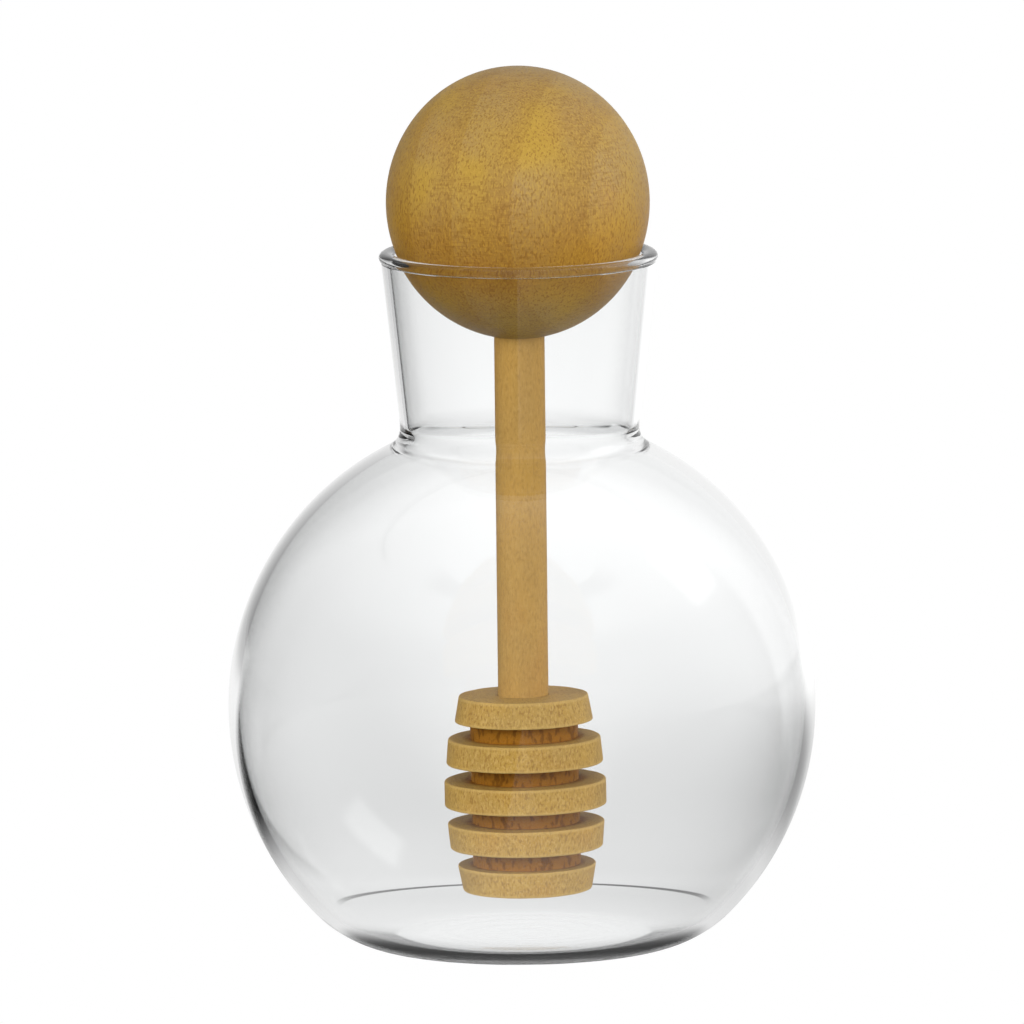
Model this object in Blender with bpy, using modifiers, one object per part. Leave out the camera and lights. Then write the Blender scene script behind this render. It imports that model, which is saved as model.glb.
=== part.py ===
# Round glass honey pot, closed by a wooden ball that carries a honey dipper.
# Metres, +Z up. The origin is on the surface the pot stands on, below the neck's centre.
# The pot, the ball, the stem and the dipper head are separate solids. Every piece is turned.

from math import acos, asin, cos, pi, radians, sin, sqrt

import bmesh
import bpy
from mathutils import Vector

# Body of the pot: a sphere with a flat foot, blown with an even wall
BODY_RADIUS = 0.050
BODY_CENTRE_HEIGHT = 0.0413
BODY_WALL = 0.0018
HEEL_RADIUS = 0.0205

# Neck: a slightly flared tube that bends into the body
NECK_FOOT_RADIUS = 0.0201
NECK_TOP_RADIUS = 0.0234
NECK_WALL = 0.0016
NECK_CORNER = 0.0013
INNER_NECK_CORNER = 0.0025

# Rim: a thick bead that the ball rests in
BEAD_INNER_RADIUS = 0.0209
BEAD_OUTER_RADIUS = 0.02375
BEAD_HEIGHT = 0.0020
BEAD_CENTRE_HEIGHT = 0.1184

# Ball: a little taller than it is wide, with a flat where the stem meets it
BALL_RADIUS = 0.02244
BALL_HALF_HEIGHT = 0.0232
BALL_CENTRE_HEIGHT = 0.1277

# Stem: a round dowel with broken edges
STEM_RADIUS = 0.0043
STEM_EDGE = 0.0003
STEM_LEAN = radians(0.15)

# Dipper head: discs on a core. The middle disc is widest, and the others follow a barrel.
HEAD_TOP_HEIGHT = 0.0431
HEAD_LEAN = radians(0.7)
DISC_COUNT = 5
DISC_PITCH = 0.00726
DISC_THICKNESS = 0.0044
DISC_EDGE = 0.0002
HEAD_RADIUS = 0.0138
BARREL_DROP = 0.0006
DISC_TAPER = 0.0002
CORE_RADIUS = 0.0092

# Space left between pieces that touch
GAP = 0.0003

POT_STEPS = 60
WOOD_STEPS = 48
STEM_STEPS = 32
BODY_SEGMENTS = 15
HEEL_SEGMENTS = 4
BEAD_SEGMENTS = 10
CORNER_SEGMENTS = 4
BALL_SEGMENTS = 20
SMOOTH_ANGLE = radians(35)


def remove_everything():
    for thing in list(bpy.data.objects):
        bpy.data.objects.remove(thing, do_unlink=True)


def new_collection(name):
    collection = bpy.data.collections.new(name)
    bpy.context.scene.collection.children.link(collection)
    return collection


def new_material(name, colour, roughness, transmission=0.0):
    material = bpy.data.materials.new(name)
    material.use_nodes = True
    shader = material.node_tree.nodes["Principled BSDF"]
    shader.inputs["Base Color"].default_value = (*colour, 1.0)
    shader.inputs["Roughness"].default_value = roughness
    shader.inputs["Metallic"].default_value = 0.0
    shader.inputs["Transmission Weight"].default_value = transmission
    material.diffuse_color = (*colour, 1.0 - 0.7 * transmission)
    return material


def new_empty(name, collection, location, lean, parent=None):
    empty = bpy.data.objects.new(name, None)
    empty.empty_display_size = 0.01
    collection.objects.link(empty)
    empty.parent = parent
    empty.location = location
    empty.rotation_euler = (0.0, -lean, 0.0)
    return empty


# A profile is a list of (radius, height) points. On its outer side it runs top to bottom.

def arc(centre, radius, start, end, segments):
    """Points on a circle from start to end, both angles measured up from the horizontal."""
    points = []
    for index in range(segments + 1):
        angle = start + (end - start) * index / segments
        points.append((centre[0] + radius * cos(angle), centre[1] + radius * sin(angle)))
    return points


def rounded_corner(before, corner, after, reach, segments):
    """A soft bend at a corner, which starts and ends at most reach away from it."""
    corner = Vector(corner)
    start = corner + (Vector(before) - corner).normalized() * reach
    end = corner + (Vector(after) - corner).normalized() * reach
    points = []
    for index in range(segments + 1):
        t = index / segments
        point = start * (1 - t) ** 2 + corner * 2 * t * (1 - t) + end * t ** 2
        points.append(tuple(point))
    return points


def foot_arc(sphere_radius, fillet_radius, floor_height):
    """Flat radius, and angle below the equator, of a fillet from a sphere to a flat floor."""
    drop = BODY_CENTRE_HEIGHT - floor_height - fillet_radius
    reach = sphere_radius - fillet_radius
    return sqrt(reach ** 2 - drop ** 2), asin(drop / reach)


def inside_of_pot():
    """From the floor's centre up the body and the neck to the bead."""
    inner_radius = BODY_RADIUS - BODY_WALL
    inner_heel = HEEL_RADIUS - BODY_WALL
    centre = (0.0, BODY_CENTRE_HEIGHT)
    flat_radius, foot_angle = foot_arc(inner_radius, inner_heel, BODY_WALL)
    neck_angle = acos((NECK_FOOT_RADIUS - NECK_WALL) / inner_radius)
    shoulder_angle = neck_angle - INNER_NECK_CORNER / inner_radius
    joint = arc(centre, inner_radius, neck_angle, neck_angle, 1)[0]
    shoulder = arc(centre, inner_radius, shoulder_angle, shoulder_angle, 1)[0]
    neck_top = (NECK_TOP_RADIUS - NECK_WALL, BEAD_CENTRE_HEIGHT)

    points = [(0.0, BODY_WALL)]
    points += arc((flat_radius, HEEL_RADIUS), inner_heel, -pi / 2, -foot_angle, HEEL_SEGMENTS)
    points += arc(centre, inner_radius, -foot_angle, shoulder_angle, BODY_SEGMENTS)[1:]
    points += rounded_corner(shoulder, joint, neck_top, INNER_NECK_CORNER, CORNER_SEGMENTS)[1:]
    return points


def bead():
    """Over the rim's bead, from the inside of the neck to its outside."""
    half_width = (BEAD_OUTER_RADIUS - BEAD_INNER_RADIUS) / 2
    half_height = BEAD_HEIGHT / 2
    middle = BEAD_INNER_RADIUS + half_width
    inner = pi + acos((middle - NECK_TOP_RADIUS + NECK_WALL) / half_width)
    outer = -acos((NECK_TOP_RADIUS - middle) / half_width)
    points = []
    for radius, height in arc((0.0, 0.0), 1.0, inner, outer, BEAD_SEGMENTS):
        points.append((middle + half_width * radius, BEAD_CENTRE_HEIGHT + half_height * height))
    return points


def outside_of_pot():
    """Down the neck, the body and the heel to the centre of the flat foot."""
    centre = (0.0, BODY_CENTRE_HEIGHT)
    flat_radius, foot_angle = foot_arc(BODY_RADIUS, HEEL_RADIUS, 0.0)
    neck_angle = acos(NECK_FOOT_RADIUS / BODY_RADIUS)
    shoulder_angle = neck_angle - NECK_CORNER / BODY_RADIUS
    joint = arc(centre, BODY_RADIUS, neck_angle, neck_angle, 1)[0]
    shoulder = arc(centre, BODY_RADIUS, shoulder_angle, shoulder_angle, 1)[0]
    neck_top = (NECK_TOP_RADIUS, BEAD_CENTRE_HEIGHT)

    points = rounded_corner(neck_top, joint, shoulder, NECK_CORNER, CORNER_SEGMENTS)
    points += arc(centre, BODY_RADIUS, shoulder_angle, -foot_angle, BODY_SEGMENTS)[1:]
    points += arc((flat_radius, HEEL_RADIUS), HEEL_RADIUS, -foot_angle, -pi / 2, HEEL_SEGMENTS)[1:]
    points.append((0.0, 0.0))
    return points


def pot_profile():
    """The pot's whole wall: up the inside, over the rim and down the outside."""
    points = inside_of_pot()
    points += bead()
    points += outside_of_pot()
    return points


def ball_profile():
    """An ellipse round the origin, cut flat below to the stem's width."""
    flat_angle = acos(STEM_RADIUS / BALL_RADIUS)
    points = []
    for radius, height in arc((0.0, 0.0), 1.0, pi / 2, -flat_angle, BALL_SEGMENTS):
        points.append((BALL_RADIUS * radius, BALL_HALF_HEIGHT * height))
    points[0] = (0.0, BALL_HALF_HEIGHT)
    points.append((0.0, points[-1][1]))
    return points


def stem_profile(length):
    """A dowel that hangs from the origin, with both edges broken."""
    return [
        (0.0, 0.0),
        (STEM_RADIUS - STEM_EDGE, 0.0),
        (STEM_RADIUS, -STEM_EDGE),
        (STEM_RADIUS, STEM_EDGE - length),
        (STEM_RADIUS - STEM_EDGE, -length),
        (0.0, -length),
    ]


def head_profile():
    """Discs one below another, joined by the core that shows in the grooves."""
    points = [(0.0, 0.0)]
    for index in range(DISC_COUNT):
        step = index - (DISC_COUNT - 1) / 2
        middle_radius = HEAD_RADIUS - BARREL_DROP * step ** 2
        top_radius = middle_radius + DISC_TAPER * step
        bottom_radius = middle_radius - DISC_TAPER * step
        top = -index * DISC_PITCH
        bottom = top - DISC_THICKNESS
        if index > 0:
            points.append((CORE_RADIUS, top))
        points.append((top_radius - DISC_EDGE, top))
        points.append((top_radius, top - DISC_EDGE))
        points.append((bottom_radius, bottom + DISC_EDGE))
        points.append((bottom_radius - DISC_EDGE, bottom))
        if index < DISC_COUNT - 1:
            points.append((CORE_RADIUS, bottom))
    points.append((0.0, points[-1][1]))
    return points


def turned(name, profile, steps, material, collection, parent=None, location=(0.0, 0.0, 0.0)):
    """Turn a profile about Z with a Screw modifier and shade it smooth."""
    outline = bmesh.new()
    corners = [outline.verts.new((radius, 0.0, height)) for radius, height in profile]
    for upper, lower in zip(corners, corners[1:]):
        outline.edges.new((upper, lower))
    mesh = bpy.data.meshes.new(name + "_profile")
    outline.to_mesh(mesh)
    outline.free()

    piece = bpy.data.objects.new(name, mesh)
    collection.objects.link(piece)
    screw = piece.modifiers.new("turn", "SCREW")
    screw.axis = "Z"
    screw.steps = steps
    screw.render_steps = steps
    screw.use_merge_vertices = True
    screw.merge_threshold = 0.00001

    graph = bpy.context.evaluated_depsgraph_get()
    turned_mesh = bpy.data.meshes.new_from_object(piece.evaluated_get(graph))
    piece.modifiers.clear()
    piece.data = turned_mesh
    bpy.data.meshes.remove(mesh)
    turned_mesh.name = name
    turned_mesh.shade_smooth()
    turned_mesh.set_sharp_from_angle(angle=SMOOTH_ANGLE)
    turned_mesh.materials.append(material)
    piece.parent = parent
    piece.location = location
    return piece


def build():
    remove_everything()
    collection = new_collection("honey_pot_with_dipper")
    glass = new_material("clear_glass", (0.93, 0.95, 0.95), 0.02, transmission=1.0)
    ball_wood = new_material("ball_wood", (0.44, 0.26, 0.07), 0.5)
    stem_wood = new_material("stem_wood", (0.48, 0.28, 0.09), 0.55)
    head_wood = new_material("head_wood", (0.46, 0.28, 0.08), 0.6)

    turned("glass_pot", pot_profile(), POT_STEPS, glass, collection)

    ball_outline = ball_profile()
    ball_foot = -ball_outline[-1][1]
    ball_height = (0.0, 0.0, BALL_CENTRE_HEIGHT)
    stopper = new_empty("stopper", collection, ball_height, STEM_LEAN)
    turned("ball", ball_outline, WOOD_STEPS, ball_wood, collection, stopper)

    stem_top = -ball_foot - GAP
    head_top = HEAD_TOP_HEIGHT - BALL_CENTRE_HEIGHT
    stem_length = stem_top - head_top - GAP
    stem_place = (0.0, 0.0, stem_top)
    turned("stem", stem_profile(stem_length), STEM_STEPS, stem_wood, collection, stopper, stem_place)

    dipper = new_empty("dipper", collection, (0.0, 0.0, head_top), HEAD_LEAN, stopper)
    turned("dipper_head", head_profile(), WOOD_STEPS, head_wood, collection, dipper)
    bpy.context.view_layer.update()


build()
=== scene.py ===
# Dressed scene of a round honey pot: clear glass, a wooden ball that closes it, and its dipper.
# Metres, +Z up, in the frame of the CAD model.

import math

import bpy
from mathutils import Matrix, Vector


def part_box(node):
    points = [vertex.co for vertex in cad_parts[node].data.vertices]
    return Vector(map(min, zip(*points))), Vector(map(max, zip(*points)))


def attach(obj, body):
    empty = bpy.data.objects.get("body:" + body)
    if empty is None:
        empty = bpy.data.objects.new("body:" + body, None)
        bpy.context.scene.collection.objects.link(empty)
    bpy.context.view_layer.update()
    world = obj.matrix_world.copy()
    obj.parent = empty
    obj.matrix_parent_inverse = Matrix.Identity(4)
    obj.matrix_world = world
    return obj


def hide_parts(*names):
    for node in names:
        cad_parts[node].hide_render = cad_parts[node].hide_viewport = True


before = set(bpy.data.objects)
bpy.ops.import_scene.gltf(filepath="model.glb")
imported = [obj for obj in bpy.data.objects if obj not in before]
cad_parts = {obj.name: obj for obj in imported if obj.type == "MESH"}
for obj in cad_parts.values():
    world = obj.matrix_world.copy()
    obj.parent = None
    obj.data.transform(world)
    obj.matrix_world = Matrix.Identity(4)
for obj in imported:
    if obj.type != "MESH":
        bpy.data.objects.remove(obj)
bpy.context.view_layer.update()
print("frame loaded:", ", ".join(sorted(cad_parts)))

mm = 0.001


# Nodes: what shaders and Geometry Nodes share

def plug(tree, socket, value):
    if isinstance(value, bpy.types.NodeSocket):
        tree.links.new(value, socket)
    else:
        socket.default_value = value


def addNode(tree, kind, values=None, **settings):
    node = tree.nodes.new(kind)
    for key, value in settings.items():
        setattr(node, key, value)
    for key, value in (values or {}).items():
        plug(tree, node.inputs[key], value)
    return node


def calc(tree, operation, *values):
    node = addNode(tree, "ShaderNodeMath", operation=operation)
    for socket, value in zip(node.inputs, values):
        plug(tree, socket, value)
    return node.outputs[0]


def ramp(tree, value, low, high, bottom=0.0, top=1.0):
    node = addNode(tree, "ShaderNodeMapRange", {
        "Value": value, "From Min": low, "From Max": high, "To Min": bottom, "To Max": top,
    }, interpolation_type="SMOOTHSTEP")
    return node.outputs[0]


# Camera: a long lens a little above level, with the small roll of the picture

cameraLook = {
    "lens": 1000.0,  # so long that the view is close to parallel
    "sensor": 36.0,
    "frameWidth": 174.3 * mm,  # what the picture takes in, at the pot's axis
    "middle": (-1.43 * mm, 0.0, 74.5 * mm),  # the point in the picture's middle
    "clipEnd": 30.0,
    "elevation": math.radians(8.0),
    "roll": math.radians(0.48),
}


def makeCamera(look):
    data = bpy.data.cameras.new("camera")
    data.lens = look["lens"]
    data.sensor_width = look["sensor"]
    data.clip_end = look["clipEnd"]
    camera = bpy.data.objects.new("camera", data)
    bpy.context.collection.objects.link(camera)
    distance = look["frameWidth"] * look["lens"] / look["sensor"]
    tilt = look["elevation"]
    back = Vector((0.0, -math.cos(tilt), math.sin(tilt)))
    turn = Matrix.Rotation(math.pi / 2 - tilt, 4, "X") @ Matrix.Rotation(-look["roll"], 4, "Z")
    camera.matrix_world = Matrix.Translation(Vector(look["middle"]) + back * distance) @ turn
    bpy.context.scene.camera = camera


# Studio: a white table that glows, soft lights, and a room that is darker to the left and in front.
# The camera sees the table as plain white. Glass and wood see it dimmer near the pot.

studioLook = {
    "tableSize": 8.0,
    "tableHeight": -0.08 * mm,
    "tableGlow": [  # distance from the pot's foot, brightness
        (0.0000, 1.02), (0.0195, 1.02), (0.0240, 0.84), (0.0420, 0.78), (0.0520, 0.82),
        (0.0566, 0.91), (0.0750, 0.91), (0.1300, 0.93), (0.3000, 1.03), (0.7000, 1.13), (1.4000, 0.98),
    ],
    "leastDepth": 0.01,  # y counts as at least this where x is measured against it
    "heelLine": (0.0202, 0.0350),  # the circle that the heel's thin line of shade follows: y, radius
    "shades": {  # what the shade leaves of the glow, then each measure with where it begins and is full
        "left": (0.88, ("across", -0.01, -0.12), ("away", 0.035, 0.075)),
        "right": (0.90, ("across", 0.01, 0.12), ("away", 0.035, 0.075), ("away", 0.40, 0.15)),
        "farLeft": (0.58, ("across", -0.10, -0.35), ("away", 0.35, 0.80)),
        "leftCard": (0.03, ("across", -0.66, -0.78), ("away", 0.055, 0.110)),
        "rightCard": (0.60, ("across", 0.50, 0.90), ("away", 0.055, 0.110)),
        "nearRight": (0.60, ("x", 0.015, 0.110), ("y", 0.36, 0.12)),
        "nearLeft": (0.40, ("x", -0.035, -0.080), ("y", 0.100, 0.060)),
        "front": (0.35, ("y", -0.02, -0.16)),
        "underHeel": (0.06, ("away", 0.0215, 0.0228), ("away", 0.0350, 0.0290), ("y", 0.010, -0.006)),
        "heelLine": (0.18, ("offHeelLine", 0.0012, 0.00048), ("y", 0.0202, 0.0350)),
    },
    "softboxes": {  # direction from the pot, distance, width and height, power, seen in the glass
        "keySoftbox": ((0.775, 0.114, 0.622), 1.1, (0.40, 0.50), 0.7, True),
        "frontSoftbox": ((0.1, -0.8, 0.28), 1.6, (1.2, 1.2), 38.0, False),
        "leftSoftbox": ((-0.9, -0.25, 0.2), 1.4, (0.8, 0.8), 20.0, False),
        "rightSoftbox": ((0.9, -0.25, 0.05), 1.4, (0.8, 0.8), 16.0, False),
    },
    "softboxFade": (0.50, 0.30),  # from its middle, in widths: where it is dark, and where still full
    "aim": (0.0, 0.0, 70 * mm),
    "room": {  # along each axis: where the room is dark and where bright, and how bright it is there
        "X": (-0.7, 0.1, 0.10, 0.9),
        "Y": (-0.5, 0.4, 0.30, 1.0),
    },
    "bounces": 40,
    "glassBounces": 32,  # enough for light that is guided in the wall
}


def tableGlow(tree, look):
    # How bright the table is where glass and wood see it
    place = addNode(tree, "ShaderNodeTexCoord").outputs["Object"]
    split = addNode(tree, "ShaderNodeSeparateXYZ", {0: place})
    x, y = split.outputs["X"], split.outputs["Y"]
    away = addNode(tree, "ShaderNodeVectorMath", {0: place}, operation="LENGTH").outputs["Value"]
    reach = look["tableGlow"][-1][0]
    top = max(value for distance, value in look["tableGlow"])
    glow = addNode(tree, "ShaderNodeValToRGB", {0: calc(tree, "DIVIDE", away, reach)})
    stops = glow.color_ramp.elements
    while len(stops) < len(look["tableGlow"]):
        stops.new(0.5)
    for stop, (distance, value) in zip(stops, look["tableGlow"]):
        stop.position = distance / reach
        stop.color = (value / top, value / top, value / top, 1.0)

    # A shade is full where all its measures are past their bounds
    middle, radius = look["heelLine"]
    shifted = addNode(tree, "ShaderNodeVectorMath", {0: place, 1: (0.0, -middle, 0.0)}, operation="ADD")
    fromMiddle = addNode(tree, "ShaderNodeVectorMath", {0: shifted.outputs[0]}, operation="LENGTH")
    off = calc(tree, "SUBTRACT", fromMiddle.outputs["Value"], radius)
    measures = {
        "x": x,
        "y": y,
        "away": away,
        "across": calc(tree, "DIVIDE", x, calc(tree, "MAXIMUM", y, look["leastDepth"])),
        "offHeelLine": calc(tree, "ABSOLUTE", off),
    }
    level = top
    for left, *bounds in look["shades"].values():
        share = 1.0
        for measure, begins, full in bounds:
            share = calc(tree, "MULTIPLY", share, ramp(tree, measures[measure], begins, full))
        level = calc(tree, "MULTIPLY", level, calc(tree, "MULTIPLY_ADD", share, left - 1.0, 1.0))
    return glow.outputs[0], level


def makeTable(look):
    half = look["tableSize"] / 2
    mesh = bpy.data.meshes.new("table")
    corners = [(-half, -half), (half, -half), (half, half), (-half, half)]
    mesh.from_pydata([(x, y, look["tableHeight"]) for x, y in corners], [], [(0, 1, 2, 3)])
    table = bpy.data.objects.new("table", mesh)
    bpy.context.collection.objects.link(table)

    material = bpy.data.materials.new("whiteTable")
    material.use_nodes = True
    tree = material.node_tree
    tree.nodes.remove(tree.nodes["Principled BSDF"])
    colour, strength = tableGlow(tree, look)
    dim = addNode(tree, "ShaderNodeEmission", {"Color": colour, "Strength": strength})
    white = addNode(tree, "ShaderNodeEmission")
    direct = addNode(tree, "ShaderNodeLightPath").outputs["Is Camera Ray"]
    both = addNode(tree, "ShaderNodeMixShader", {0: direct, 1: dim.outputs[0], 2: white.outputs[0]})
    plug(tree, tree.nodes["Material Output"].inputs["Surface"], both.outputs[0])
    mesh.materials.append(material)


def makeSoftbox(name, look, direction, distance, size, power, inGlass):
    data = bpy.data.lights.new(name, "AREA")
    data.shape = "RECTANGLE"
    data.size, data.size_y = size
    data.energy = power
    light = bpy.data.objects.new(name, data)
    bpy.context.collection.objects.link(light)
    away = Vector(direction).normalized()
    light.location = Vector(look["aim"]) + away * distance
    light.rotation_mode = "QUATERNION"
    light.rotation_quaternion = away.to_track_quat("Z", "Y")
    light.visible_glossy = inGlass
    light.visible_transmission = inGlass

    # The light fades towards the softbox's edges
    data.use_nodes = True
    tree = data.node_tree
    across = addNode(tree, "ShaderNodeNewGeometry").outputs["Parametric"]
    split = addNode(tree, "ShaderNodeSeparateXYZ", {0: across})
    fades = []
    for axis in ("X", "Y"):
        off = calc(tree, "ABSOLUTE", calc(tree, "SUBTRACT", split.outputs[axis], 0.5))
        fades.append(ramp(tree, off, *look["softboxFade"]))
    plug(tree, tree.nodes["Emission"].inputs["Strength"], calc(tree, "MULTIPLY", *fades))


def makeRoom(look):
    world = bpy.data.worlds.new("room")
    world.use_nodes = True
    bpy.context.scene.world = world
    tree = world.node_tree
    direction = addNode(tree, "ShaderNodeTexCoord").outputs["Generated"]
    split = addNode(tree, "ShaderNodeSeparateXYZ", {0: direction})
    level = 1.0
    for axis, (start, end, dark, bright) in look["room"].items():
        level = calc(tree, "MULTIPLY", level, ramp(tree, split.outputs[axis], start, end, dark, bright))
    plug(tree, tree.nodes["Background"].inputs["Color"], level)


def makeStudio(look):
    makeTable(look)
    makeRoom(look)
    for name, settings in look["softboxes"].items():
        makeSoftbox(name, look, *settings)
    scene = bpy.context.scene
    scene.view_settings.view_transform = "Standard"
    scene.cycles.max_bounces = look["bounces"]
    scene.cycles.transmission_bounces = look["glassBounces"]
    scene.cycles.glossy_bounces = look["glassBounces"]


makeCamera(cameraLook)
makeStudio(studioLook)
print("camera and studio made")


# Geometry Nodes: what the trees below share

creaseAngle = math.radians(32)  # edges that bend by more than this stay sharp
mergeDistance = 0.001 * mm


def newTree(name, inputs):
    tree = bpy.data.node_groups.new(name, "GeometryNodeTree")
    for label, kind in inputs.items():
        tree.interface.new_socket(label, in_out="INPUT", socket_type="NodeSocket" + kind)
    tree.interface.new_socket("Geometry", in_out="OUTPUT", socket_type="NodeSocketGeometry")
    return tree, tree.nodes.new("NodeGroupInput").outputs


def turnGrid(tree, steps, count, radiusAndHeight, relief, reliefSize, material, marks=None):
    # A grid, steps wide and count high, is rolled up about Z. radiusAndHeight(row) gives each row.
    around = calc(tree, "ADD", steps, 1)
    grid = addNode(tree, "GeometryNodeMeshGrid", {"Vertices X": around, "Vertices Y": count})
    index = addNode(tree, "GeometryNodeInputIndex").outputs[0]
    row = calc(tree, "FLOORED_MODULO", index, count)
    column = calc(tree, "FLOOR", calc(tree, "DIVIDE", index, count))
    angle = calc(tree, "MULTIPLY", calc(tree, "DIVIDE", column, steps), math.tau)
    radius, height = radiusAndHeight(row)
    x = calc(tree, "MULTIPLY", radius, calc(tree, "COSINE", angle))
    y = calc(tree, "MULTIPLY", radius, calc(tree, "SINE", angle))
    place = addNode(tree, "ShaderNodeCombineXYZ", {0: x, 1: y, 2: height}).outputs[0]
    last = grid.outputs[0]
    for label, value in (marks or {}).items():
        last = addNode(tree, "GeometryNodeStoreNamedAttribute", {
            0: last, "Name": label, "Value": value(row),
        }).outputs[0]
    last = addNode(tree, "GeometryNodeSetPosition", {0: last, "Position": place}).outputs[0]
    last = addNode(tree, "GeometryNodeMergeByDistance", {0: last, "Distance": mergeDistance}).outputs[0]

    # Slight unevenness of the surface, along its normal
    noise = addNode(tree, "ShaderNodeTexNoise", {
        "Scale": calc(tree, "DIVIDE", 1.0, reliefSize), "Detail": 1.0,
    }).outputs[0]
    push = calc(tree, "MULTIPLY", calc(tree, "SUBTRACT", noise, 0.5), relief)
    normal = addNode(tree, "GeometryNodeInputNormal").outputs[0]
    offset = addNode(tree, "ShaderNodeVectorMath", {0: normal, "Scale": push}, operation="SCALE")
    last = addNode(tree, "GeometryNodeSetPosition", {0: last, "Offset": offset.outputs[0]}).outputs[0]

    last = addNode(tree, "GeometryNodeSetShadeSmooth", {0: last}).outputs[0]
    bend = addNode(tree, "GeometryNodeInputMeshEdgeAngle").outputs[0]
    crease = calc(tree, "GREATER_THAN", bend, creaseAngle)
    last = addNode(tree, "GeometryNodeSetShadeSmooth", {
        0: last, "Selection": crease, "Shade Smooth": False,
    }, domain="EDGE").outputs[0]
    last = addNode(tree, "GeometryNodeRealizeInstances", {0: last}).outputs[0]
    last = addNode(tree, "GeometryNodeSetMaterial", {0: last, "Material": material}).outputs[0]
    addNode(tree, "NodeGroupOutput", {0: last})


def readLine(tree, line, row):
    # The x and z of one point of a line
    position = addNode(tree, "GeometryNodeInputPosition").outputs[0]
    sample = addNode(tree, "GeometryNodeSampleIndex", {0: line}, data_type="FLOAT_VECTOR")
    vectorIn = [socket for socket in sample.inputs if socket.name == "Value" and socket.enabled][0]
    plug(tree, vectorIn, position)
    plug(tree, sample.inputs["Index"], row)
    split = addNode(tree, "ShaderNodeSeparateXYZ", {0: sample.outputs[0]})
    return split.outputs["X"], split.outputs["Z"]


def turnTree():
    # Turns a line of points, given as x and z, into a round body
    tree, given = newTree("turnedBody", {
        "Profile": "Geometry", "Steps": "Int", "Relief": "Float", "Relief Size": "Float",
        "Material": "Material",
    })
    size = addNode(tree, "GeometryNodeAttributeDomainSize", {0: given["Profile"]})
    turnGrid(
        tree, given["Steps"], size.outputs["Point Count"],
        lambda row: readLine(tree, given["Profile"], row),
        given["Relief"], given["Relief Size"], given["Material"],
    )
    return tree


def runTree(name, tree, mesh, values):
    piece = bpy.data.objects.new(name, mesh)
    bpy.context.collection.objects.link(piece)
    modifier = piece.modifiers.new(tree.name, "NODES")
    modifier.node_group = tree
    for item in tree.interface.items_tree:
        if item.in_out == "INPUT" and item.name in values:
            modifier[item.identifier] = values[item.name]
    graph = bpy.context.evaluated_depsgraph_get()
    made = bpy.data.meshes.new_from_object(piece.evaluated_get(graph))
    piece.modifiers.clear()
    piece.data = made
    made.name = name
    return piece


def profileMesh(points):
    mesh = bpy.data.meshes.new("profile")
    line = [(index, index + 1) for index in range(len(points) - 1)]
    mesh.from_pydata([(radius, 0.0, height) for radius, height in points], line, [])
    return mesh


def arcPoint(centre, radii, angle):
    # A point on an ellipse, its angle measured up from the horizontal
    return (centre[0] + radii[0] * math.cos(angle), centre[1] + radii[1] * math.sin(angle))


def arcPoints(centre, radii, start, end, count):
    angles = [start + (end - start) * index / count for index in range(count + 1)]
    return [arcPoint(centre, radii, angle) for angle in angles]


def softCorner(before, corner, after, reach, count):
    corner = Vector(corner)
    start = corner + (Vector(before) - corner).normalized() * reach
    end = corner + (Vector(after) - corner).normalized() * reach
    points = []
    for index in range(count + 1):
        t = index / count
        points.append(tuple(start * (1 - t) ** 2 + corner * 2 * t * (1 - t) + end * t ** 2))
    return points


def fillStraights(points, longest, guard):
    # Long straight stretches get extra points, so that smooth shading stays true along them
    filled = [points[0]]
    for start, end in zip(points, points[1:]):
        start, end = Vector(start), Vector(end)
        length = (end - start).length
        if length > longest:
            count = math.ceil((length - 2 * guard) / longest)
            for index in range(count + 1):
                along = guard + (length - 2 * guard) * index / count
                filled.append(tuple(start.lerp(end, along / length)))
        filled.append(tuple(end))
    return filled


bodyTree = turnTree()


# Glass pot

potLook = {
    "bodyWall": 1.8 * mm,
    "bodyCentre": 41.3 * mm,  # height of the sphere's middle
    "heelRadius": 20.5 * mm,
    "neckFootRadius": 20.1 * mm,
    "neckTopRadius": 23.4 * mm,
    "neckWall": 1.6 * mm,
    "neckCorner": 2.8 * mm,
    "innerNeckCorner": 2.5 * mm,
    "rows": {"floor": 60, "heel": 16, "innerHeel": 24, "body": 64, "corner": 10, "bead": 36},
    "floorRipple": (0.012 * mm, 4.6 * mm),  # height and spacing of the floor's ripples
    "beadInnerRadius": 20.9 * mm,
    "beadOuterRadius": 23.75 * mm,
    "beadHeight": 2.0 * mm,
    "longestStretch": 1.8 * mm,
    "guardStretch": 0.25 * mm,
    "steps": 160,
    "relief": 0.0,
    "reliefSize": 14 * mm,
    "glassColour": (0.98, 0.985, 0.985),
    "glassIor": 1.474,
}


def wallFace(look, radius, beadCentre, depth, neckDepth, corner, heelRows):
    # One face of the wall, from the edge of the flat foot up to the bead. radius is the body's, and
    # the depths say how far the face lies below the outer one.
    reach = radius - look["heelRadius"]
    drop = look["bodyCentre"] - look["heelRadius"]
    footAngle = math.asin(drop / reach)
    heel = (math.sqrt(reach ** 2 - drop ** 2), look["heelRadius"])
    heelRadii = (look["heelRadius"] - depth,) * 2
    centre = (0.0, look["bodyCentre"])
    face = radius - depth
    jointAngle = math.acos((look["neckFootRadius"] - neckDepth) / face)
    joint = arcPoint(centre, (face, face), jointAngle)
    neckTop = (look["neckTopRadius"] - neckDepth, beadCentre)
    rows = look["rows"]
    points = arcPoints(heel, heelRadii, -math.pi / 2, -footAngle, heelRows)
    points += arcPoints(centre, (face, face), -footAngle, jointAngle - corner / face, rows["body"])[1:]
    points += softCorner(points[-1], joint, neckTop, corner, rows["corner"])[1:]
    return points


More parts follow.
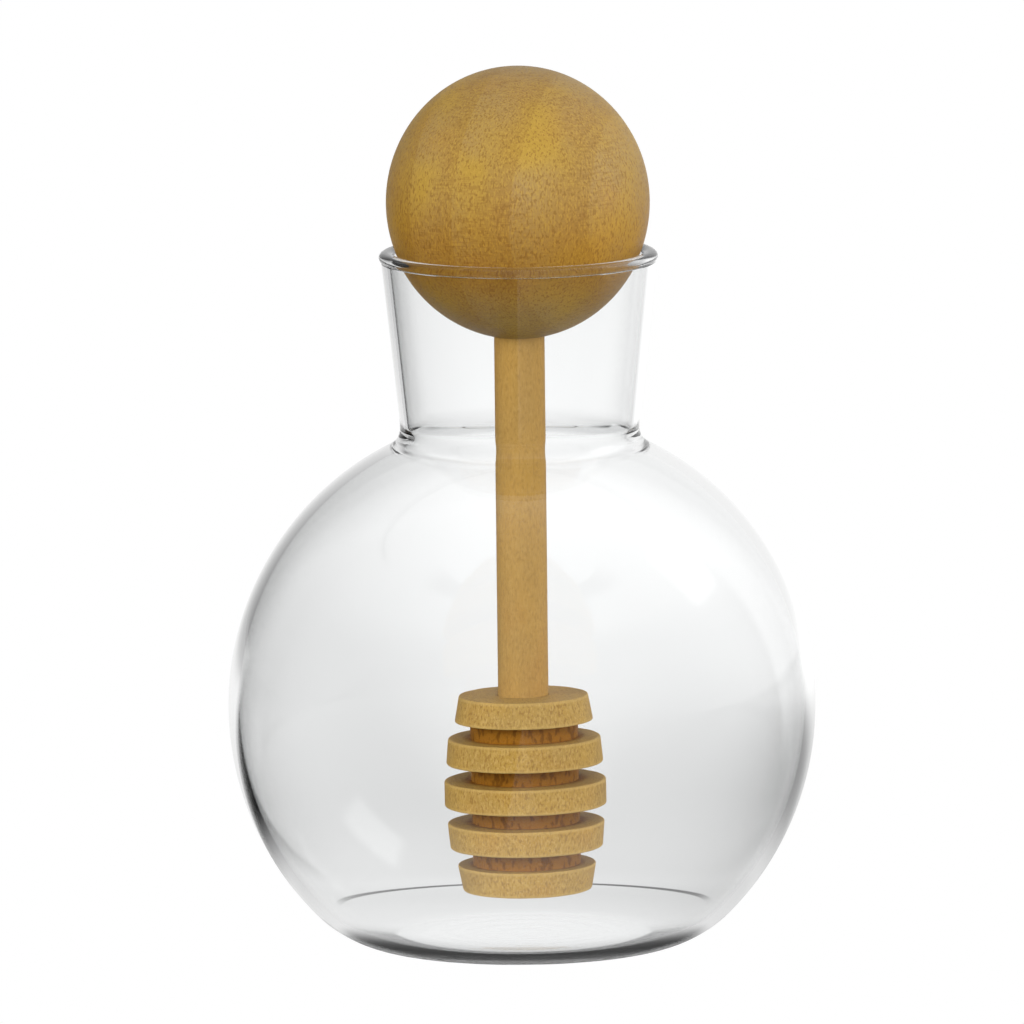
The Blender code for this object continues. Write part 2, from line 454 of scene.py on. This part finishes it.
def potBead(look, beadCentre):
    halfWidth = (look["beadOuterRadius"] - look["beadInnerRadius"]) / 2
    halfHeight = look["beadHeight"] / 2
    middle = look["beadInnerRadius"] + halfWidth
    outer = -math.acos((look["neckTopRadius"] - middle) / halfWidth)
    inner = math.pi + math.acos((middle - look["neckTopRadius"] + look["neckWall"]) / halfWidth)
    return arcPoints((middle, beadCentre), (halfWidth, halfHeight), outer, inner, look["rows"]["bead"])


def potFloor(look, edge):
    # The floor inside, from its middle to the heel, with its faint ripples
    height, spacing = look["floorRipple"]
    count = look["rows"]["floor"]
    points = []
    for step in range(count):
        radius = edge * step / count
        fade = min(1.0, radius / spacing) * min(1.0, (edge - radius) / spacing)
        points.append((radius, look["bodyWall"] + height * fade * math.sin(math.tau * radius / spacing)))
    return points


def makeGlass(look):
    glass = bpy.data.materials.new("clearGlass")
    glass.use_nodes = True
    shader = glass.node_tree.nodes["Principled BSDF"]
    shader.inputs["Base Color"].default_value = (*look["glassColour"], 1.0)
    shader.inputs["Roughness"].default_value = 0.0
    shader.inputs["IOR"].default_value = look["glassIor"]
    shader.inputs["Transmission Weight"].default_value = 1.0
    return glass


def makePot(look):
    low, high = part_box("glass_pot")
    radius = (high[0] - low[0]) / 2
    beadCentre = high[2] - look["beadHeight"] / 2
    rows = look["rows"]
    outside = wallFace(look, radius, beadCentre, 0.0, 0.0, look["neckCorner"], rows["heel"])
    walls = (look["bodyWall"], look["neckWall"])
    inside = wallFace(look, radius, beadCentre, *walls, look["innerNeckCorner"], rows["innerHeel"])
    inside = potFloor(look, inside[0][0]) + inside
    points = [(0.0, 0.0)] + outside + potBead(look, beadCentre) + inside[::-1]
    points = fillStraights(points, look["longestStretch"], look["guardStretch"])
    pot = runTree("glassPot", bodyTree, profileMesh(points), {
        "Steps": look["steps"], "Relief": look["relief"], "Relief Size": look["reliefSize"],
        "Material": makeGlass(look),
    })
    pot.visible_shadow = False  # clear glass lets the light in
    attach(pot, "root")
    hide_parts("glass_pot")


makePot(potLook)
print("glass pot turned")


# Wood: one recipe for the ball, the stem and the dipper head, each with its own values

woodMarks = {  # where each mark begins and where it is full, in its noise
    "patches": (0.35, 0.65),
    "warm": (0.45, 0.70),
    "ring": (0.25, 0.96),  # across one ring
    "ringEdge": (1.0, 0.965),
    "fibres": (0.46, 0.62),
    "pores": (0.53, 0.66),
    "chatter": (0.48, 0.66),
    "chatterPatches": (0.45, 0.60),
    "groove": (0.55, 1.0),  # from the rim to the core
    "streaks": (0.50, 0.62),
    "roughness": (0.3, 0.7),
    "wander": 0.35,  # in rings
    "chatterDepth": 0.8,  # against the height of the fibres
    "poreDepth": 0.7,
}


def blendColour(tree, share, first, second, mode="MIX"):
    node = tree.nodes.new("ShaderNodeMix")
    node.data_type = "RGBA"
    node.blend_type = mode
    shareIn, colours = node.inputs[0], node.inputs[6:8]
    plug(tree, shareIn, share)
    for socket, colour in zip(colours, (first, second)):
        plug(tree, socket, colour if isinstance(colour, bpy.types.NodeSocket) else (*colour, 1.0))
    return node.outputs[2]


def makeWood(name, look):
    wood = bpy.data.materials.new(name)
    wood.use_nodes = True
    tree = wood.node_tree
    shader = tree.nodes["Principled BSDF"]
    place = addNode(tree, "ShaderNodeTexCoord").outputs["Object"]

    def noise(size, seed, detail=2.0, rough=0.5):
        # Noise in object space, with marks as long along x, y and z as look[size] says
        shift = look["seed"] + seed
        scale = addNode(tree, "ShaderNodeMapping", {
            "Vector": place, "Scale": [1.0 / length for length in look[size]], "Location": (shift,) * 3,
        })
        return addNode(tree, "ShaderNodeTexNoise", {
            "Vector": scale.outputs[0], "Scale": 1.0, "Detail": detail, "Roughness": rough,
        }).outputs[0]

    def marked(mark, value, share=1.0):
        return ramp(tree, value, *woodMarks[mark], 0.0, share)

    # Broad patches, warm and dull
    colour = blendColour(tree, marked("patches", noise("patchSize", 0.0)), look["dull"], look["gold"])
    warm = marked("warm", noise("patchSize", 7.0), look["warmShare"])
    colour = blendColour(tree, warm, colour, look["warm"])

    # Growth rings: sharp on one side, fading on the other
    split = addNode(tree, "ShaderNodeSeparateXYZ", {0: place})
    x = calc(tree, "SUBTRACT", split.outputs["X"], look["pith"][0])
    y = calc(tree, "SUBTRACT", split.outputs["Y"], look["pith"][1])
    away = calc(tree, "SQRT", calc(tree, "ADD", calc(tree, "MULTIPLY", x, x), calc(tree, "MULTIPLY", y, y)))
    rings = calc(tree, "DIVIDE", away, look["ringWidth"])
    wander = noise("ringWander", 3.0, detail=1.0)
    phase = calc(tree, "FRACT", calc(tree, "MULTIPLY_ADD", wander, woodMarks["wander"], rings))
    late = calc(tree, "MULTIPLY", marked("ring", phase), marked("ringEdge", phase))
    colour = blendColour(tree, calc(tree, "MULTIPLY", late, look["ringShare"]), colour, look["late"])

    # Fibres, pores and the marks of the lathe
    fibres = noise("fibreSize", 1.0, detail=3.0, rough=0.7)
    colour = blendColour(tree, marked("fibres", fibres, look["fibreShare"]), colour, look["pale"])
    pores = noise("poreSize", 2.0, detail=1.0)
    colour = blendColour(tree, marked("pores", pores, look["poreShare"]), colour, look["pore"])
    where = marked("chatterPatches", noise("patchSize", 5.0))
    chatter = calc(tree, "MULTIPLY", marked("chatter", noise("chatterSize", 4.0)), where)
    share = calc(tree, "MULTIPLY", chatter, look["chatterShare"])
    colour = blendColour(tree, share, colour, look["pore"])

    # Painted shade: a darker, warmer band on the ball around the pot's rim
    if "paintedRimShade" in look:
        low = ramp(tree, split.outputs["Z"], *look["rimFade"])
        low = calc(tree, "MULTIPLY", low, ramp(tree, split.outputs["Z"], *look["underFade"]))
        colour = blendColour(tree, low, colour, look["paintedRimShade"], "MULTIPLY")

    if "grooveDark" in look:
        # The grooves darken towards their cores, streak by streak, and the disc edges are lightened with a
        # painted highlight, partly edge wear
        groove = addNode(tree, "ShaderNodeAttribute", attribute_name="groove").outputs["Fac"]
        deep = marked("groove", groove)
        colour = blendColour(tree, calc(tree, "MULTIPLY", deep, look["grooveDarkShare"]), colour, look["grooveDark"])
        streaks = marked("streaks", noise("streakSize", 6.0), look["streakShare"])
        share = calc(tree, "MULTIPLY", deep, streaks)
        colour = blendColour(tree, share, colour, look["streak"])
        # Painted highlight, partly edge wear: the disc edges are lightened towards the pale colour
        edge = addNode(tree, "ShaderNodeAttribute", attribute_name="edge").outputs["Fac"]
        colour = blendColour(tree, calc(tree, "MULTIPLY", edge, look["edgeHighlightAndWearShare"]), colour, look["pale"])

    plug(tree, shader.inputs["Base Color"], colour)
    roughness = ramp(tree, fibres, *woodMarks["roughness"], *look["rough"])
    plug(tree, shader.inputs["Roughness"], roughness)
    shader.inputs["Specular IOR Level"].default_value = look["shine"]
    height = calc(tree, "MULTIPLY_ADD", chatter, -woodMarks["chatterDepth"], fibres)
    height = calc(tree, "MULTIPLY_ADD", marked("pores", pores), -woodMarks["poreDepth"], height)
    bump = addNode(tree, "ShaderNodeBump", {
        "Height": height, "Strength": look["bump"], "Distance": look["bumpDepth"],
    })
    plug(tree, shader.inputs["Normal"], bump.outputs[0])
    return wood


# The stopper leans a little from the pot's axis, and its dipper leans a little more

stopperLook = {
    "ballCentre": 127.7 * mm,
    "stemLean": math.radians(0.15),
    "headTop": 43.1 * mm,
    "headLean": math.radians(0.7),
}


def stopperPlace(look):
    return Matrix.Translation((0.0, 0.0, look["ballCentre"])) @ Matrix.Rotation(-look["stemLean"], 4, "Y")


def dipperPlace(look):
    drop = Matrix.Translation((0.0, 0.0, look["headTop"] - look["ballCentre"]))
    return stopperPlace(look) @ drop @ Matrix.Rotation(-look["headLean"], 4, "Y")


# Ball: a little taller than it is wide, drilled below for the stem

ballLook = {
    "radius": 22.44 * mm,
    "halfHeight": 23.2 * mm,
    "holeRadius": 4.42 * mm,
    "holeDepth": 2.5 * mm,
    "rows": 90,
    "steps": 144,
    "relief": 0.05 * mm,
    "reliefSize": 9 * mm,
    "seed": 2.0,
    "gold": (0.4, 0.247, 0.038),
    "dull": (0.33, 0.211, 0.070),
    "warm": (0.35, 0.188, 0.044),
    "late": (0.29, 0.16, 0.028),
    "pale": (0.5, 0.318, 0.062),
    "pore": (0.22, 0.11, 0.025),
    "warmShare": 0.6,
    "patchSize": (14 * mm, 14 * mm, 16 * mm),
    "pith": (-64 * mm, 18 * mm),
    "ringWidth": 9.5 * mm,
    "ringWander": (40 * mm, 40 * mm, 60 * mm),
    "ringShare": 0.5,
    "fibreSize": (0.30 * mm, 0.30 * mm, 0.9 * mm),
    "fibreShare": 0.5,
    "poreSize": (0.35 * mm, 0.35 * mm, 0.8 * mm),
    "poreShare": 0.62,
    "paintedRimShade": (0.94, 0.80, 0.52),  # painted shade: darker and warmer just above the rim
    "rimFade": (136 * mm, 119 * mm),
    "underFade": (109 * mm, 118 * mm),
    "chatterSize": (2.4 * mm, 2.4 * mm, 0.35 * mm),
    "chatterShare": 0.35,
    "rough": (0.42, 0.6),
    "shine": 0.3,
    "bump": 0.35,
    "bumpDepth": 0.05 * mm,
}


def makeBall(look, place):
    # From the top down to the hole
    holeAngle = math.acos(look["holeRadius"] / look["radius"])
    points = arcPoints((0, 0), (look["radius"], look["halfHeight"]), math.pi / 2, -holeAngle, look["rows"])
    points[0] = (0.0, look["halfHeight"])
    edge = points[-1]
    points += [(edge[0], edge[1] + look["holeDepth"]), (0.0, edge[1] + look["holeDepth"])]
    ball = runTree("ball", bodyTree, profileMesh(points[::-1]), {
        "Steps": look["steps"], "Relief": look["relief"], "Relief Size": look["reliefSize"],
        "Material": makeWood("ballWood", look),
    })
    ball.data.transform(place)
    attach(ball, "root")
    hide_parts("ball")


makeBall(ballLook, stopperPlace(stopperLook))
print("ball turned")


# Stem: a dowel glued into the ball above and into the head below

stemLook = {
    "radius": 4.3 * mm,
    "top": -21.0 * mm,  # both ends are measured from the ball's centre
    "bottom": -85.6 * mm,
    "rows": 48,
    "steps": 64,
    "relief": 0.05 * mm,
    "reliefSize": 12 * mm,
    "seed": 11.0,
    "gold": (0.48, 0.28, 0.068),
    "dull": (0.432, 0.26, 0.074),
    "warm": (0.465, 0.236, 0.054),
    "late": (0.4, 0.228, 0.052),
    "pale": (0.59, 0.385, 0.125),
    "pore": (0.30, 0.16, 0.045),
    "warmShare": 0.5,
    "patchSize": (9 * mm, 9 * mm, 22 * mm),
    "pith": (-30 * mm, 30 * mm),
    "ringWidth": 5 * mm,
    "ringWander": (30 * mm, 30 * mm, 70 * mm),
    "ringShare": 0.25,
    "fibreSize": (0.3 * mm, 0.3 * mm, 1.3 * mm),
    "fibreShare": 0.3,
    "poreSize": (0.35 * mm, 0.35 * mm, 0.9 * mm),
    "poreShare": 0.35,
    "chatterSize": (1.8 * mm, 1.8 * mm, 0.5 * mm),
    "chatterShare": 0.12,
    "rough": (0.5, 0.7),
    "shine": 0.3,
    "bump": 0.35,
    "bumpDepth": 0.05 * mm,
}


def makeStem(look, place):
    length = look["top"] - look["bottom"]
    points = [(0.0, look["bottom"])]
    for index in range(look["rows"] + 1):
        points.append((look["radius"], look["bottom"] + length * index / look["rows"]))
    points.append((0.0, look["top"]))
    stem = runTree("stem", bodyTree, profileMesh(points), {
        "Steps": look["steps"], "Relief": look["relief"], "Relief Size": look["reliefSize"],
        "Material": makeWood("stemWood", look),
    })
    stem.data.transform(place)
    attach(stem, "root")
    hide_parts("stem")


makeStem(stemLook, stopperPlace(stopperLook))
print("stem turned")


# Dipper head: discs on a core, all turned from one piece. They follow a barrel.

headLook = {
    "discs": 5,
    "pitch": 7.26 * mm,
    "thickness": 4.4 * mm,
    "belly": 13.8 * mm,  # radius of the middle disc
    "barrelDrop": 0.6 * mm,
    "taper": 0.2 * mm,
    "core": 9.2 * mm,
    "holeRadius": 4.45 * mm,
    "holeDepth": 1.6 * mm,
    "edgeRadius": 0.32 * mm,
    "edgeRows": 5,
    "rimRows": 7,
    "faceShares": (0.05, 0.35, 0.65),  # where the rows of a disc's faces lie, from core to rim
    "steps": 144,
    "relief": 0.10 * mm,
    "reliefSize": 4 * mm,
    "seed": 23.0,
    "gold": (0.46, 0.28, 0.062),
    "dull": (0.405, 0.255, 0.068),
    "warm": (0.44, 0.228, 0.046),
    "late": (0.385, 0.228, 0.052),
    "pale": (0.59, 0.4, 0.135),
    "pore": (0.26, 0.135, 0.035),
    "warmShare": 0.4,
    "patchSize": (9 * mm, 9 * mm, 9 * mm),
    "pith": (-40 * mm, -20 * mm),
    "ringWidth": 4 * mm,
    "ringWander": (30 * mm, 30 * mm, 60 * mm),
    "ringShare": 0.25,
    "fibreSize": (0.35 * mm, 0.35 * mm, 0.8 * mm),
    "fibreShare": 0.6,
    "poreSize": (0.35 * mm, 0.35 * mm, 0.7 * mm),
    "poreShare": 0.6,
    "chatterSize": (1.5 * mm, 1.5 * mm, 0.4 * mm),
    "chatterShare": 0.1,
    # darker and browner towards each groove's core
    "grooveDark": (0.28, 0.105, 0.004),
    "grooveDarkShare": 0.85,
    "streak": (0.10, 0.035, 0.004),
    "streakShare": 0.6,
    "streakSize": (0.9 * mm, 0.9 * mm, 1.8 * mm),
    # painted highlight, partly edge wear, on the disc edges
    "edgeHighlightAndWearShare": 0.45,
    "rough": (0.5, 0.75),
    "shine": 0.3,
    "bump": 0.4,
    "bumpDepth": 0.06 * mm,
}


def discSection(look):
    # One disc and the groove above it. x runs from 0 at the core to 1 at the rim, z down from 0.
    thickness, soft = look["thickness"], look["edgeRadius"]
    groove = look["pitch"] - thickness
    softShare = soft / (look["belly"] - look["core"])
    corner = 1.0 - softShare
    across = [*look["faceShares"], corner - look["faceShares"][0]]
    points = [(0.0, groove * 2 / 3), (0.0, groove / 3), (0.0, 0.0)]
    points += [(share, 0.0) for share in across]
    points += arcPoints((corner, -soft), (softShare, soft), math.pi / 2, 0.0, look["edgeRows"])
    for index in range(look["rimRows"]):
        points.append((1.0, -soft - (thickness - 2 * soft) * (index + 0.5) / look["rimRows"]))
    points += arcPoints((corner, soft - thickness), (softShare, soft), 0.0, -math.pi / 2, look["edgeRows"])
    points += [(share, -thickness) for share in across[::-1]]
    return points + [(0.0, -thickness)]


def headTree():
    # Repeats the section of one disc down the head, and turns the whole about Z
    tree, given = newTree("dipperHead", {
        "Section": "Geometry", "Discs": "Int", "Pitch": "Float", "Thickness": "Float",
        "Belly Radius": "Float", "Barrel Drop": "Float", "Taper": "Float", "Core Radius": "Float",
        "Hole Radius": "Float", "Hole Depth": "Float", "Edge Radius": "Float",
        "Steps": "Int", "Relief": "Float", "Relief Size": "Float", "Material": "Material",
    })
    size = addNode(tree, "GeometryNodeAttributeDomainSize", {0: given["Section"]})
    perDisc = size.outputs["Point Count"]
    total = calc(tree, "MULTIPLY", perDisc, given["Discs"])

    def across(row):
        return readLine(tree, given["Section"], calc(tree, "FLOORED_MODULO", row, perDisc))

    def discAndStep(row):
        disc = calc(tree, "FLOOR", calc(tree, "DIVIDE", row, perDisc))
        middle = calc(tree, "MULTIPLY", calc(tree, "SUBTRACT", given["Discs"], 1), 0.5)
        return disc, calc(tree, "SUBTRACT", disc, middle)

    def pick(test, yes, no):
        # yes where test is 1, no where it is 0
        return calc(tree, "MULTIPLY_ADD", calc(tree, "SUBTRACT", yes, no), test, no)

    def radiusAndHeight(row):
        share, down = across(row)
        disc, step = discAndStep(row)
        half = calc(tree, "MULTIPLY_ADD", calc(tree, "DIVIDE", down, given["Thickness"]), 2.0, 1.0)
        belly = calc(tree, "MULTIPLY", given["Barrel Drop"], calc(tree, "MULTIPLY", step, step))
        lean = calc(tree, "MULTIPLY", given["Taper"], calc(tree, "MULTIPLY", step, half))
        rim = calc(tree, "ADD", calc(tree, "SUBTRACT", given["Belly Radius"], belly), lean)
        reach = calc(tree, "SUBTRACT", rim, given["Core Radius"])
        radius = calc(tree, "MULTIPLY_ADD", reach, share, given["Core Radius"])
        height = calc(tree, "SUBTRACT", down, calc(tree, "MULTIPLY", disc, given["Pitch"]))

        # The first three rows make the hole for the stem, and the last closes the head below
        inHole = calc(tree, "LESS_THAN", row, 2.5)
        atFloor = calc(tree, "LESS_THAN", row, 1.5)
        holeRadius = calc(tree, "MULTIPLY", given["Hole Radius"], calc(tree, "GREATER_THAN", row, 0.5))
        holeHeight = calc(tree, "MULTIPLY", given["Hole Depth"], calc(tree, "MULTIPLY", atFloor, -1.0))
        radius = pick(inHole, holeRadius, radius)
        height = pick(inHole, holeHeight, height)
        isLast = calc(tree, "GREATER_THAN", row, calc(tree, "SUBTRACT", total, 0.5))
        fall = calc(tree, "MULTIPLY", calc(tree, "SUBTRACT", given["Discs"], 1), given["Pitch"])
        foot = calc(tree, "MULTIPLY", calc(tree, "ADD", fall, given["Thickness"]), -1.0)
        return pick(isLast, 0.0, radius), pick(isLast, foot, height)

    def groove(row):
        # 1 at the core and 0 at the rim, but for the hole above and the face below
        share, down = across(row)
        inside = calc(tree, "SUBTRACT", 1.0, share)
        above = calc(tree, "GREATER_THAN", row, 3.5)
        below = calc(tree, "LESS_THAN", row, calc(tree, "SUBTRACT", total, 5.5))
        return calc(tree, "MULTIPLY", inside, calc(tree, "MULTIPLY", above, below))

    def edge(row):
        # 1 near the two edges of each disc
        share, down = across(row)
        near = calc(tree, "MULTIPLY", given["Edge Radius"], 1.5)
        top = calc(tree, "GREATER_THAN", down, calc(tree, "MULTIPLY", near, -1.0))
        bottom = calc(tree, "LESS_THAN", down, calc(tree, "SUBTRACT", near, given["Thickness"]))
        rim = calc(tree, "GREATER_THAN", share, 0.93)
        return calc(tree, "MULTIPLY", calc(tree, "MAXIMUM", top, bottom), rim)

    turnGrid(
        tree, given["Steps"], calc(tree, "ADD", total, 1), radiusAndHeight,
        given["Relief"], given["Relief Size"], given["Material"], {"groove": groove, "edge": edge},
    )
    return tree


def makeHead(look, place):
    head = runTree("dipperHead", headTree(), profileMesh(discSection(look)), {
        "Discs": look["discs"], "Pitch": look["pitch"], "Thickness": look["thickness"],
        "Belly Radius": look["belly"], "Barrel Drop": look["barrelDrop"], "Taper": look["taper"],
        "Core Radius": look["core"], "Hole Radius": look["holeRadius"], "Hole Depth": look["holeDepth"],
        "Edge Radius": look["edgeRadius"], "Steps": look["steps"], "Relief": look["relief"],
        "Relief Size": look["reliefSize"], "Material": makeWood("headWood", look),
    })
    head.data.transform(place)
    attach(head, "root")
    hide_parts("dipper_head")


makeHead(headLook, dipperPlace(stopperLook))
print("dipper head turned")
